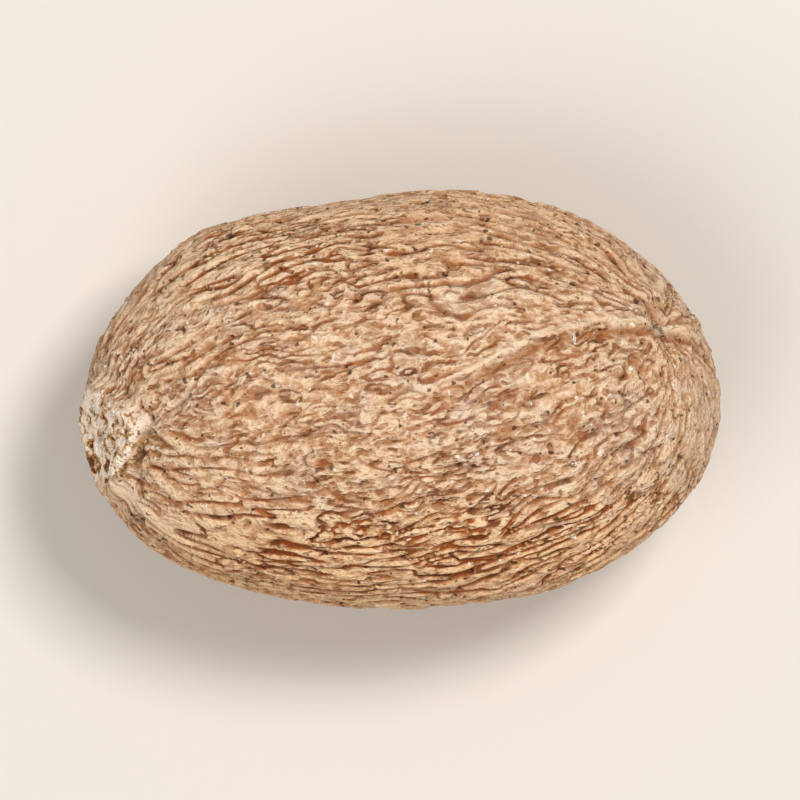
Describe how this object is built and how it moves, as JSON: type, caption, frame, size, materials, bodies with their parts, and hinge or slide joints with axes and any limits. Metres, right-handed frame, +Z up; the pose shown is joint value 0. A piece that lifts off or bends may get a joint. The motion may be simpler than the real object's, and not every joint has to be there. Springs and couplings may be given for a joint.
{
  "type": "whole nutmeg",
  "caption": "Whole dried nutmeg kernel lying on its side: an uneven ovoid seed with a net of raised veins, a crusty hilum scar and a small chalaza dimple.",
  "frame": {"origin": "on the surface that the nut rests on, under the middle of its bounding box", "axes": "+X along the nut's long axis, from the hilum end to the chalaza end; +Z up, out of the side that shows in the picture"},
  "size_m": [0.028, 0.0182, 0.017],
  "materials": {
    "nutmeg_shell": "dry, dull and woody: pale tan veins over a browner ground, with cream crust at the hilum"
  },
  "bodies": {
    "root": {"nutmeg": "nutmeg_shell"}
  },
  "joints": []
}
